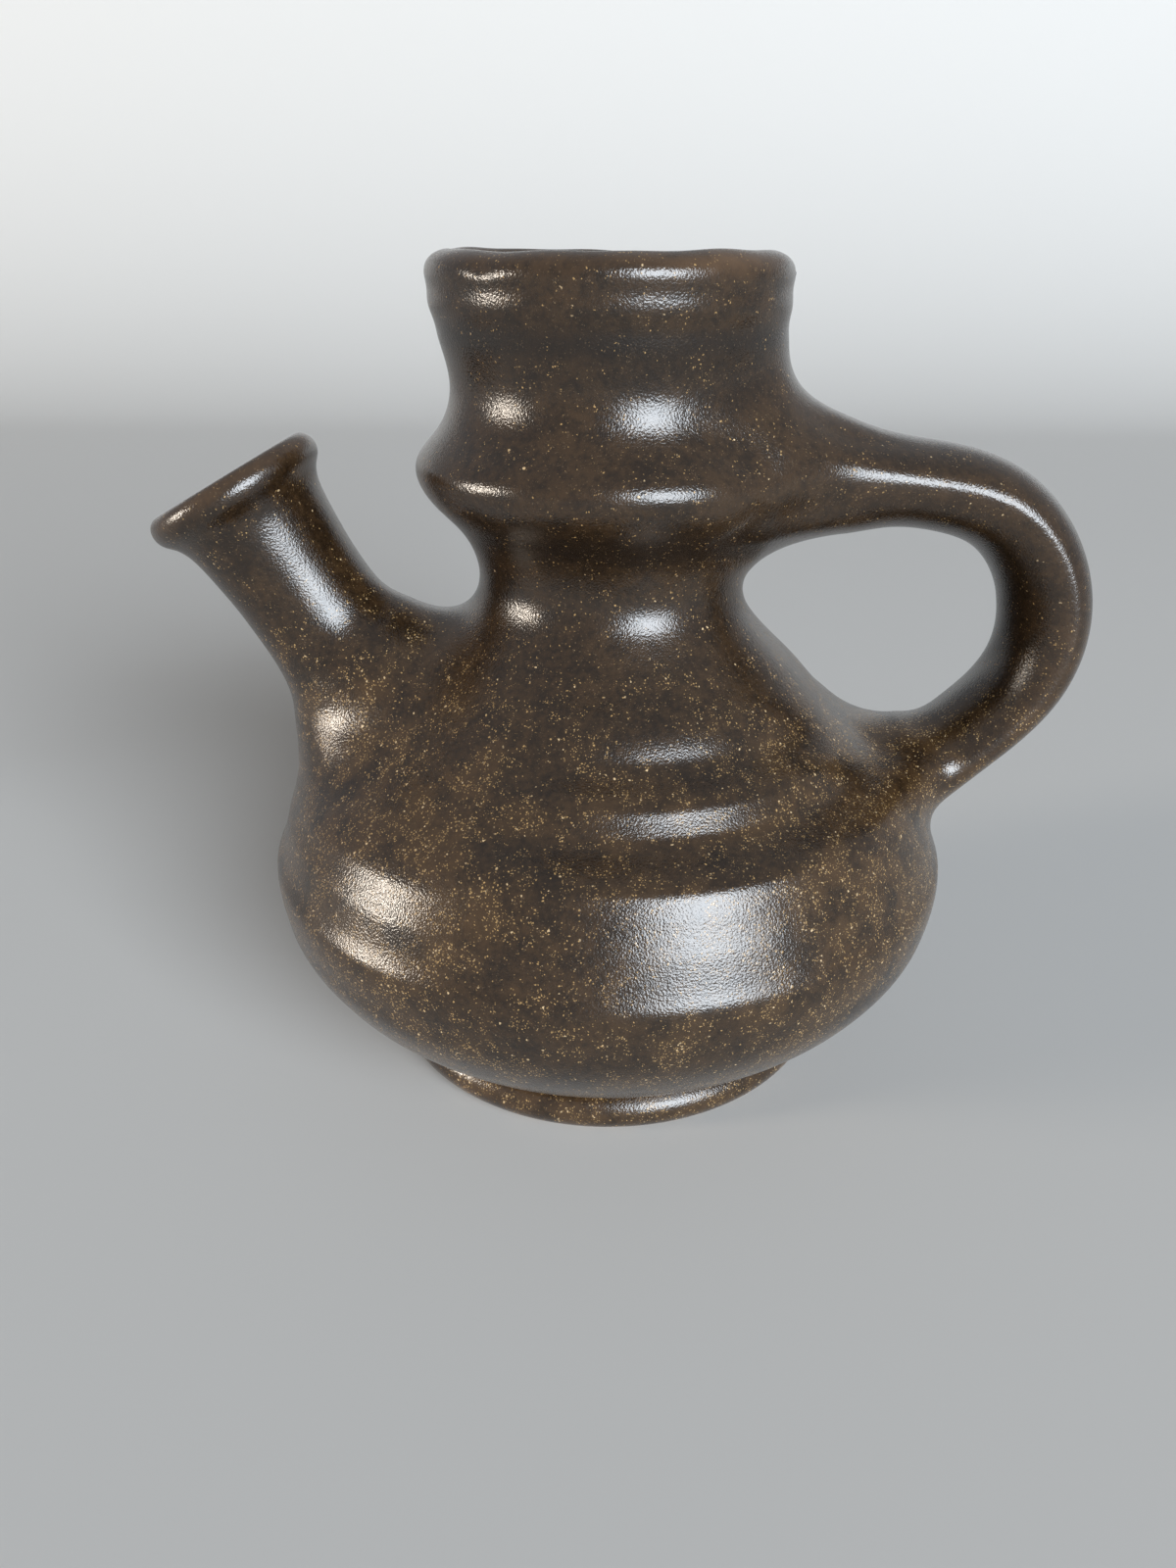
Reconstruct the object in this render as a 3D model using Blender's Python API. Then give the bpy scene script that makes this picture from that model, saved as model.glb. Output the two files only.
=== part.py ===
"""Stoneware jug vase with a side spout and an ear handle.

The vessel is built as a potter builds it: a lower bowl and a shoulder dome meet at the
belly, a foot ring sits under the bowl, a collar stands on the throat, a flared spout
covers a hole in the shoulder, and a pulled handle runs from the collar to the shoulder.
Every joint is luted, and the layer of slip is the clearance between the pieces.
Metres, +Z up, standing on z = 0 with the bounding box centred on the origin.
"""

import math

import bpy
import numpy as np
from mathutils import Vector

# Clay and joints
WALL = 0.0050
LUTE = 0.0003

# Foot ring, and the boss of the bowl that it is fitted round
FOOT_RADIUS = 0.0470
FOOT_HEIGHT = 0.0090
FOOT_RING_WIDTH = 0.0110
FOOT_ROUND = 0.0038
BASE_RECESS = 0.0035
FLOOR_THICKNESS = 0.0060

# Radii of the turned outline, from the heel of the bowl up to the rim
HEEL_RADIUS = 0.0455
LOWER_BELLY_RADIUS = 0.0625
BELLY_RADIUS = 0.0710
BELLY_BAND_RADIUS = 0.0640
SHOULDER_RADIUS = 0.0520
NECK_ROOT_RADIUS = 0.0385
THROAT_RADIUS = 0.0257
BEAD_UNDERSIDE_RADIUS = 0.0289
BEAD_RADIUS = 0.0367
WAIST_RADIUS = 0.0296
BAND_RADIUS = 0.0310
RIM_RADIUS = 0.0328

# Rise to each of those places from the one below it
LOWER_BELLY_RISE = 0.0130
BELLY_RISE = 0.0190
BELLY_BAND_RISE = 0.0210
SHOULDER_RISE = 0.0085
NECK_ROOT_RISE = 0.0135
THROAT_RISE = 0.0170
BEAD_UNDERSIDE_RISE = 0.0110
BEAD_RISE = 0.0100
WAIST_RISE = 0.0145
BAND_RISE = 0.0085
RIM_RISE = 0.0100

# The rim's rounded edge, and how far below the throat the collar's seam lies
LIP_OUTER_ROUND = 0.0050
LIP_INNER_ROUND = 0.0022
COLLAR_SEAM_DROP = 0.0040

# Spout: its axis leaves the shoulder and leans away from the vertical
SPOUT_ROOT_RISE = 0.0043
SPOUT_LEAN = math.radians(30.5)
SPOUT_LENGTH = 0.0524
SPOUT_RADIUS = 0.0127
SPOUT_BORE_RADIUS = 0.0085
SPOUT_LIP_RADIUS = 0.0178
SPOUT_LIP_ROUND = 0.0034
SPOUT_LIP_SWELL_LENGTH = 0.0240
SPOUT_FLARE = 0.0108
SPOUT_FLARE_LENGTH = 0.0256
SPOUT_NECK_FLARE = 0.0090
SPOUT_NECK_FLARE_LENGTH = 0.0190
SPOUT_ROOT_DEPTH = 0.0120

# Handle: two arms that run from the body to a round bow, of oval section
HANDLE_REACH = 0.0959
HANDLE_BOW_RADIUS = 0.0261
HANDLE_BOW_DROP = 0.0290
HANDLE_TOP_DROP = 0.0008
HANDLE_FOOT_RISE = 0.0190
HANDLE_WIDTH = 0.0270
HANDLE_TOP_THICKNESS = 0.0162
HANDLE_FOOT_THICKNESS = 0.0185
HANDLE_TOP_FLARE = 0.0064
HANDLE_TOP_SPREAD = 0.0060
HANDLE_FOOT_FLARE = 0.0070
HANDLE_FOOT_SPREAD = 0.0030
HANDLE_FLARE_LENGTH = 0.0220
HANDLE_ROOT_DEPTH = 0.0100

# Fineness of the facets
TURN_STEPS = 52
OUTLINE_STEP = 0.0045
ARC_STEPS = 5
SPOUT_SIDES = 32
SPOUT_STEP = 0.0042
HANDLE_SIDES = 24
HANDLE_STEP = 0.0042

# Colours of the glaze, which breaks lighter where it lies thin
GLAZE_BROWN = (0.075, 0.045, 0.028, 1.0)
GLAZE_DARK = (0.055, 0.035, 0.024, 1.0)
GLAZE_THIN = (0.105, 0.060, 0.034, 1.0)
GLAZE_ROUGHNESS = 0.42

STATION_RADII = np.array((
    HEEL_RADIUS, LOWER_BELLY_RADIUS, BELLY_RADIUS, BELLY_BAND_RADIUS, SHOULDER_RADIUS, NECK_ROOT_RADIUS,
    THROAT_RADIUS, BEAD_UNDERSIDE_RADIUS, BEAD_RADIUS, WAIST_RADIUS, BAND_RADIUS, RIM_RADIUS))
STATION_HEIGHTS = np.cumsum((
    FOOT_HEIGHT, LOWER_BELLY_RISE, BELLY_RISE, BELLY_BAND_RISE, SHOULDER_RISE, NECK_ROOT_RISE,
    THROAT_RISE, BEAD_UNDERSIDE_RISE, BEAD_RISE, WAIST_RISE, BAND_RISE, RIM_RISE))
(HEEL_Z, _, BELLY_Z, _, SHOULDER_Z, _, THROAT_Z, _, BEAD_Z, _, _, RIM_Z) = STATION_HEIGHTS
COLLAR_SEAM_Z = THROAT_Z - COLLAR_SEAM_DROP


def station_slopes():
    """Slopes of a monotone cubic, which runs upright at each widest and narrowest place."""
    chords = np.diff(STATION_RADII) / np.diff(STATION_HEIGHTS)
    below, above = chords[:-1], chords[1:]
    one_way = below * above > 0
    harmonic = 2 * below * above / np.where(one_way, below + above, 1.0)
    return np.concatenate((chords[:1], np.where(one_way, harmonic, 0.0), chords[-1:]))


STATION_SLOPES = station_slopes()


def outline_radius(z, offset=0.0):
    """Radius of the turned outline at height z, moved along its normal by offset."""
    last = len(STATION_HEIGHTS) - 2
    i = min(max(int(np.searchsorted(STATION_HEIGHTS, z)) - 1, 0), last)
    rise = STATION_HEIGHTS[i + 1] - STATION_HEIGHTS[i]
    t = (z - STATION_HEIGHTS[i]) / rise
    r0, r1 = STATION_RADII[i], STATION_RADII[i + 1]
    m0, m1 = STATION_SLOPES[i] * rise, STATION_SLOPES[i + 1] * rise
    radius = (r0 * (1 + 2 * t) * (1 - t) ** 2 + m0 * t * (1 - t) ** 2
              + r1 * t * t * (3 - 2 * t) - m1 * t * t * (1 - t))
    slope = (6 * t * (1 - t) * (r1 - r0) + m0 * (1 - t) * (1 - 3 * t) - m1 * t * (2 - 3 * t)) / rise
    return radius + offset * math.hypot(1.0, slope)


def outline(z_from, z_to, offset=0.0):
    """Points (radius, height) along the outline, evenly spaced in height."""
    count = max(2, round(abs(z_to - z_from) / OUTLINE_STEP) + 1)
    return [(outline_radius(z, offset), z) for z in np.linspace(z_from, z_to, count)]


def arc(centre, radius, start, end):
    """Points on an arc about centre, between two angles in degrees."""
    angles = np.radians(np.linspace(start, end, ARC_STEPS))
    return [(centre[0] + radius * math.cos(a), centre[1] + radius * math.sin(a)) for a in angles]


def glaze(name, colour):
    material = bpy.data.materials.new(name + "_glaze")
    material.use_nodes = True
    shader = material.node_tree.nodes["Principled BSDF"]
    shader.inputs["Base Color"].default_value = colour
    shader.inputs["Roughness"].default_value = GLAZE_ROUGHNESS
    shader.inputs["Metallic"].default_value = 0.0
    return material


def add_piece(name, mesh, axis, colour):
    """Put a mesh on the turning axis; a piece with no colour is a cutter."""
    piece = bpy.data.objects.new(name, mesh)
    bpy.context.scene.collection.objects.link(piece)
    piece.parent = axis
    if colour is None:
        piece.hide_render = True
        piece.display_type = "WIRE"
    else:
        mesh.materials.append(glaze(name, colour))
    return piece


def turned(name, profile, axis, colour, closed):
    """A piece thrown on the wheel: a profile (radius, height) swept round the axis."""
    count = len(profile)
    edges = [(i, (i + 1) % count) for i in range(count if closed else count - 1)]
    mesh = bpy.data.meshes.new(name)
    mesh.from_pydata([(r, 0.0, z) for r, z in profile], edges, [])
    piece = add_piece(name, mesh, axis, colour)
    screw = piece.modifiers.new("Turn", "SCREW")
    screw.axis = "Z"
    screw.steps = screw.render_steps = TURN_STEPS
    screw.use_merge_vertices = True
    screw.merge_threshold = 0.00001
    screw.use_smooth_shade = True
    return piece


def skinned(name, rings, axis, colour, looped):
    """A skin drawn over rings of points: looped back into the first ring, or capped."""
    count, sides = len(rings), len(rings[0])
    faces = []
    for i in range(count if looped else count - 1):
        a, b = i * sides, (i + 1) % count * sides
        faces += [(a + j, a + (j + 1) % sides, b + (j + 1) % sides, b + j) for j in range(sides)]
    if not looped:
        faces.append(tuple(reversed(range(sides))))
        faces.append(tuple(range((count - 1) * sides, count * sides)))
    mesh = bpy.data.meshes.new(name)
    mesh.from_pydata([point for ring in rings for point in ring], [], faces)
    mesh.shade_smooth()
    mesh.set_sharp_from_angle(angle=math.radians(50))
    return add_piece(name, mesh, axis, colour)


def cut(piece, cutter):
    boolean = piece.modifiers.new("Cut by " + cutter.name, "BOOLEAN")
    boolean.operation = "DIFFERENCE"
    boolean.solver = "EXACT"
    boolean.object = cutter


def spaced(start, end, step):
    """Values from start to end, both included, no further apart than about one step."""
    return np.linspace(start, end, max(2, round(abs(end - start) / step) + 1))


def make_foot_ring(axis):
    """A ring with a rounded outer edge, flat where it stands and where the bowl sits on it."""
    inner_radius = FOOT_RADIUS - FOOT_RING_WIDTH
    round_radius = FOOT_RADIUS - FOOT_ROUND
    profile = [(inner_radius, FOOT_HEIGHT)]
    profile += arc((round_radius, FOOT_HEIGHT - FOOT_ROUND), FOOT_ROUND, 90, 0)
    profile += arc((round_radius, FOOT_ROUND), FOOT_ROUND, 0, -90)
    profile.append((inner_radius, 0.0))
    turned("foot_ring", profile, axis, GLAZE_THIN, closed=True)


def make_lower_bowl(axis):
    """The thrown bowl up to the belly seam, with its floor and a boss inside the foot ring."""
    boss_radius = FOOT_RADIUS - FOOT_RING_WIDTH - LUTE
    floor_z = BASE_RECESS + FLOOR_THICKNESS
    underside_z = HEEL_Z + LUTE
    profile = [(0.0, floor_z)]
    profile += outline(floor_z, BELLY_Z, -WALL)
    profile += outline(BELLY_Z, underside_z)
    profile += [(boss_radius, underside_z), (boss_radius, BASE_RECESS), (0.0, BASE_RECESS)]
    turned("lower_bowl", profile, axis, GLAZE_BROWN, closed=False)


def make_shoulder_dome(axis, spout_hole):
    """The upper half of the belly, from its seam with the bowl to its seam with the collar."""
    profile = outline(COLLAR_SEAM_Z, BELLY_Z + LUTE)
    profile += outline(BELLY_Z + LUTE, COLLAR_SEAM_Z, -WALL)
    dome = turned("shoulder_dome", profile, axis, GLAZE_BROWN, closed=True)
    cut(dome, spout_hole)


def make_collar(axis):
    """The neck from the throat to the rim, with its bead, its waist and a rolled edge."""
    seam_z = COLLAR_SEAM_Z + LUTE
    edge_radius = RIM_RADIUS - LIP_OUTER_ROUND
    inner_edge_z = RIM_Z + LIP_OUTER_ROUND - LIP_INNER_ROUND
    profile = arc((edge_radius, RIM_Z), LIP_OUTER_ROUND, 90, 0)[:-1]
    profile += outline(RIM_Z, seam_z)
    profile += outline(seam_z, RIM_Z - LIP_OUTER_ROUND, -WALL)
    profile += arc((edge_radius, inner_edge_z), LIP_INNER_ROUND, 180, 90)[:-1]
    turned("collar", profile, axis, GLAZE_DARK, closed=True)


def spout_frame():
    """Root point of the spout on the shoulder, and the direction in which it leans out."""
    root_z = SHOULDER_Z + SPOUT_ROOT_RISE
    root = Vector((-outline_radius(root_z), 0.0, root_z))
    direction = Vector((-math.sin(SPOUT_LEAN), 0.0, math.cos(SPOUT_LEAN)))
    return root, direction


def spout_rings(sections):
    """Rings square to the spout's axis, from (distance from the root, radius, neck side).

    The neck side is what a ring gains in radius where it faces the neck.
    """
    root, direction = spout_frame()
    side = Vector((0.0, 1.0, 0.0))
    to_neck = side.cross(direction)
    rings = []
    for along, radius, neck_side in sections:
        centre = root + direction * along
        ring = []
        for a in np.arange(SPOUT_SIDES) * 2 * math.pi / SPOUT_SIDES:
            reach = radius + neck_side * max(0.0, math.cos(a)) ** 2
            ring.append(centre + to_neck * (reach * math.cos(a)) + side * (reach * math.sin(a)))
        rings.append(ring)
    return rings


def spout_tube(along):
    """Section of the outer skin: a tube that opens as a hyperbola to the root and swells to the lip."""
    flare_curve = 0.5
    into_flare = max(0.0, 1 - along / SPOUT_FLARE_LENGTH) / flare_curve
    root_share = (math.hypot(1.0, into_flare) - 1) / (math.hypot(1.0, 1 / flare_curve) - 1)
    lip_share = max(0.0, 1 - (SPOUT_LENGTH - along) / SPOUT_LIP_SWELL_LENGTH) ** 2
    radius = SPOUT_RADIUS + SPOUT_FLARE * root_share + (SPOUT_LIP_RADIUS - SPOUT_RADIUS) * lip_share
    neck_side = SPOUT_NECK_FLARE * max(0.0, 1 - along / SPOUT_NECK_FLARE_LENGTH) ** 2
    return along, radius, neck_side


def make_spout_hole(axis):
    """Cutter for the hole in the shoulder that the spout pours from."""
    reach = SPOUT_BORE_RADIUS + WALL
    sections = [(-reach, SPOUT_BORE_RADIUS, 0.0), (reach, SPOUT_BORE_RADIUS, 0.0)]
    return skinned("spout_hole_cutter", spout_rings(sections), axis, None, looped=False)


def make_spout(axis, body_form):
    """A tube with a rolled lip and a flared root that is cut to the shoulder."""
    lip_centre = (SPOUT_LIP_RADIUS - SPOUT_LIP_ROUND, SPOUT_LENGTH - SPOUT_LIP_ROUND)
    lip_arc = arc(lip_centre, SPOUT_LIP_ROUND, -45, 90) + arc(lip_centre, SPOUT_LIP_ROUND, 90, 180)[1:]
    tube_end = lip_arc[0][1] - SPOUT_STEP / 2
    bore_top = lip_centre[1] - 2 * SPOUT_LIP_ROUND
    sections = [spout_tube(along) for along in spaced(-SPOUT_ROOT_DEPTH, tube_end, SPOUT_STEP)]
    sections += [(along, radius, 0.0) for radius, along in lip_arc]
    sections += [(along, SPOUT_BORE_RADIUS, 0.0) for along in spaced(bore_top, -SPOUT_ROOT_DEPTH, 2 * SPOUT_STEP)]
    spout = skinned("spout", spout_rings(sections), axis, GLAZE_BROWN, looped=True)
    cut(spout, body_form)


def spout_reach():
    """Distance from the turning axis to the outermost point of the spout's lip."""
    root, direction = spout_frame()
    lip_out = (SPOUT_LIP_RADIUS - SPOUT_LIP_ROUND) * math.cos(SPOUT_LEAN) + SPOUT_LIP_ROUND
    return lip_out - root.x - direction.x * (SPOUT_LENGTH - SPOUT_LIP_ROUND)


def tangent_angle(point, centre, radius, side):
    """Angle on a circle at which the tangent from an outside point touches it."""
    away = (point[0] - centre[0], point[1] - centre[1])
    return math.atan2(away[1], away[0]) + side * math.acos(radius / math.hypot(*away))


def handle_path():
    """Rows (x, z, heading, distance from the top root, distance from the foot root).

    Each arm is the tangent from its root on the body to the bow's circle.
    """
    bow_x = HANDLE_REACH - HANDLE_BOW_RADIUS - (HANDLE_TOP_THICKNESS + HANDLE_FOOT_THICKNESS) / 4
    bow = np.array((bow_x, BEAD_Z - HANDLE_BOW_DROP))
    top = np.array((BEAD_RADIUS, BEAD_Z - HANDLE_TOP_DROP))
    foot_z = BELLY_Z + HANDLE_FOOT_RISE
    foot = np.array((outline_radius(foot_z), foot_z))
    start = tangent_angle(top, bow, HANDLE_BOW_RADIUS, -1)
    end = tangent_angle(foot, bow, HANDLE_BOW_RADIUS, 1)

    def on_bow(angle):
        return bow + HANDLE_BOW_RADIUS * np.array((math.cos(angle), math.sin(angle)))

    top_arm = math.dist(top, on_bow(start))
    foot_arm = math.dist(foot, on_bow(end))
    sweep = HANDLE_BOW_RADIUS * (start - end)
    rows = []
    for d in spaced(-HANDLE_ROOT_DEPTH, top_arm, HANDLE_STEP)[:-1]:
        x, z = top + (on_bow(start) - top) * d / top_arm
        rows.append((x, z, start - math.pi / 2, d, foot_arm + sweep + top_arm - d))
    for d in spaced(0.0, sweep, HANDLE_STEP):
        angle = start - d / HANDLE_BOW_RADIUS
        x, z = on_bow(angle)
        rows.append((x, z, angle - math.pi / 2, top_arm + d, foot_arm + sweep - d))
    for d in spaced(foot_arm, -HANDLE_ROOT_DEPTH, HANDLE_STEP)[1:]:
        x, z = foot + (on_bow(end) - foot) * d / foot_arm
        rows.append((x, z, end - math.pi / 2, top_arm + sweep + foot_arm - d, d))
    return rows


def make_handle(axis, body_form):
    """Oval sections square to the path, thickening towards both roots."""
    turns = np.arange(HANDLE_SIDES) * 2 * math.pi / HANDLE_SIDES
    rings = []
    for x, z, heading, from_top, from_foot in handle_path():
        near_top = max(0.0, 1 - from_top / HANDLE_FLARE_LENGTH) ** 2
        near_foot = max(0.0, 1 - from_foot / HANDLE_FLARE_LENGTH) ** 2
        share = min(max(from_top / (from_top + from_foot), 0.0), 1.0)
        thickness = HANDLE_TOP_THICKNESS + (HANDLE_FOOT_THICKNESS - HANDLE_TOP_THICKNESS) * share
        half_width = HANDLE_WIDTH / 2 + HANDLE_TOP_SPREAD * near_top + HANDLE_FOOT_SPREAD * near_foot
        outward = np.array((-math.sin(heading), math.cos(heading)))
        ring = []
        for a in turns:
            inner_flare = HANDLE_FOOT_FLARE * near_foot if math.cos(a) < 0 else 0.0
            rise = math.cos(a) * (thickness / 2 + HANDLE_TOP_FLARE * near_top + inner_flare)
            px, pz = np.array((x, z)) + outward * rise
            ring.append((px, half_width * math.sin(a), pz))
        rings.append(ring)
    handle = skinned("handle", rings, axis, GLAZE_BROWN, looped=False)
    cut(handle, body_form)


def make_body_form(axis):
    """Cutter with the outer form of collar, dome and bowl, grown by the joint's layer of slip."""
    profile = [(0.0, RIM_Z)]
    profile += outline(RIM_Z, COLLAR_SEAM_Z + LUTE, LUTE)
    profile += outline(COLLAR_SEAM_Z, BELLY_Z + LUTE, LUTE)
    profile += outline(BELLY_Z, HEEL_Z + LUTE, LUTE)
    profile.append((0.0, HEEL_Z + LUTE))
    return turned("body_form_cutter", profile, axis, None, closed=False)


def main():
    for old in list(bpy.data.objects):
        bpy.data.objects.remove(old)
    axis = bpy.data.objects.new("turning_axis", None)
    bpy.context.scene.collection.objects.link(axis)
    axis.location.x = (spout_reach() - HANDLE_REACH) / 2
    body_form = make_body_form(axis)
    make_foot_ring(axis)
    make_lower_bowl(axis)
    make_shoulder_dome(axis, make_spout_hole(axis))
    make_collar(axis)
    make_spout(axis, body_form)
    make_handle(axis, body_form)


main()
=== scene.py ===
"""Looks of a stoneware jug vase with a side spout and an ear handle.

Every piece is a closed skin worked out in millimetres about the axis that the pot was turned on,
and put into its mesh in metres. One speckled glaze runs on from piece to piece.
"""

import math

import bpy
import numpy as np
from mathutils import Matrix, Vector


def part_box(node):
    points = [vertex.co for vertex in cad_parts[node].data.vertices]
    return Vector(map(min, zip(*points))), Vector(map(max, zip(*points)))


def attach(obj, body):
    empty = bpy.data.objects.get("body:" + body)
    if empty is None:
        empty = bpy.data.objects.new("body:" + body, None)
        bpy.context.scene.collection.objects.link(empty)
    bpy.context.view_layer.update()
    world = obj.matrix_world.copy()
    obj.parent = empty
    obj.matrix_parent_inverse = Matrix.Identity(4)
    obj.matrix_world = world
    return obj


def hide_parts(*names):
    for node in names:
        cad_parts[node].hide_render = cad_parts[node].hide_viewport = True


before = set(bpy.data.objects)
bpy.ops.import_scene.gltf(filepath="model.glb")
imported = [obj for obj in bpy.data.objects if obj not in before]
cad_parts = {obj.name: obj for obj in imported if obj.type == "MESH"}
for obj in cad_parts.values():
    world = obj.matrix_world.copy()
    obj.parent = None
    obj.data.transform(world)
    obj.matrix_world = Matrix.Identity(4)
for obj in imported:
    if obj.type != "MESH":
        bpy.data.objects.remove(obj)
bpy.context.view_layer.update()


# Foot ring
# A ring of stoneware clay that the bowl is set on, turned with a rounded edge. It is glazed
# with the rest of the pot, and wiped bare where it stands so that it doesn't stick in the kiln.

MM = 0.001
TURN_COLUMNS = 320
TURNS = np.linspace(0.0, 2 * np.pi, TURN_COLUMNS, endpoint=False)
foot_low, foot_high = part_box("foot_ring")
AXIS = np.array(((foot_low[0] + foot_high[0]) / 2, 0.0, 0.0))
SHARPEST = math.radians(48)

FOOT_RADIUS = 48.2
FOOT_HEIGHT = 9.0
FOOT_INNER_RADIUS = 36.0
FOOT_NOSE = 4.8
FOOT_BEVEL = 1.2
FOOT_EDGE_ROW = 0.4
BARE_HEIGHT = 0.8
BARE_FADE = 0.5

GLAZE_DARK = (0.0135, 0.0072, 0.0032, 1.0)
GLAZE_LIGHT = (0.040, 0.0215, 0.0090, 1.0)
GLAZE_GOLDEN = (0.080, 0.043, 0.0165, 1.0)
# Darker glaze where it pools, which also stands as painted shade in the hollows and under the bead.
GLAZE_POOLED_AND_SHADED = (0.0085, 0.0050, 0.0030, 1.0)
GLAZE_WORN = (0.115, 0.066, 0.035, 1.0)
DUST_COLOUR = (0.115, 0.075, 0.042, 1.0)
SAND_COLOUR = (0.48, 0.30, 0.12, 1.0)
FLECK_COLOUR = (0.72, 0.52, 0.29, 1.0)
CLAY_DARK = (0.24, 0.150, 0.088, 1.0)
CLAY_PALE = (0.36, 0.245, 0.150, 1.0)
GLAZE_IOR = 1.6
BARE_ROUGHNESS = 0.85
PEEL_STRENGTH = 0.19
PEEL_DEPTH = 0.45
JITTER = 0.55
SANDY_HEIGHTS = (64.0, 106.0)
SANDY_FLANKS = (10.0, 60.0)
HEEL_HEIGHTS = (6.0, 16.0)
GRIPPED_REACH = (64.0, 76.0)


class Shade:
    """A shader socket. Arithmetic on it adds Math nodes, and node() adds any other node."""

    def __init__(self, tree, socket=None):
        self.tree, self.socket = tree, socket

    def node(self, kind, settings, inputs, output=0):
        """Adds a node, sets its settings, then its sockets to values or links, and gives one
        of its outputs."""
        added = self.tree.nodes.new("ShaderNode" + kind)
        for name, value in settings.items():
            setattr(added, name, value)
        for name, value in inputs.items():
            if isinstance(value, Shade):
                self.tree.links.new(value.socket, added.inputs[name])
            else:
                added.inputs[name].default_value = value
        return Shade(self.tree, added.outputs[output])

    def math(self, operation, *values):
        return self.node("Math", {"operation": operation}, dict(enumerate(values)))

    def __add__(self, other): return self.math("ADD", self, other)
    def __radd__(self, other): return self.math("ADD", other, self)
    def __sub__(self, other): return self.math("SUBTRACT", self, other)
    def __rsub__(self, other): return self.math("SUBTRACT", other, self)
    def __mul__(self, other): return self.math("MULTIPLY", self, other)
    def __rmul__(self, other): return self.math("MULTIPLY", other, self)

    def ease(self, low, high):
        """Smooth step from 0 at low to 1 at high."""
        return self.node("MapRange", {"interpolation_type": "SMOOTHSTEP"},
                         {"Value": self, "From Min": low, "From Max": high})

    def noise(self, size, detail=2.0, roughness=0.5, output=0):
        """Noise at this position, with lumps of about this size."""
        return self.node("TexNoise", {}, {"Vector": self, "Scale": 1 / size, "Detail": detail,
                                          "Roughness": roughness}, output)

    def blend(self, amount, first, second):
        """The first colour at an amount of 0, the second at 1."""
        return self.node("Mix", {"data_type": "RGBA"}, {0: amount, 6: first, 7: second}, 2)

    def tint(self, amount, colour):
        """This colour, mixed with another by an amount."""
        return self.blend(amount, self, colour)

    def channel(self, index):
        return self.node("SeparateXYZ", {}, {0: self}, index)


def speckles(place, spacing, widest, density):
    """Round grains of ash in the glaze: cells of a Voronoi pattern, each with its own size of
    grain, of which the share given by the density carries one. Gives the grains and their tone."""
    cells = {"Vector": place, "Scale": 1 / spacing}
    distance = place.node("TexVoronoi", {}, cells, 0)
    chance = place.node("TexVoronoi", {}, cells, 1)
    carries = (density - chance.channel(0)).ease(-0.03, 0.03)
    reach = widest * (0.35 + 0.65 * chance.channel(1))
    grain = (reach - distance).ease(0.0, 0.16)
    return grain * carries, chance.channel(2)


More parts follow.
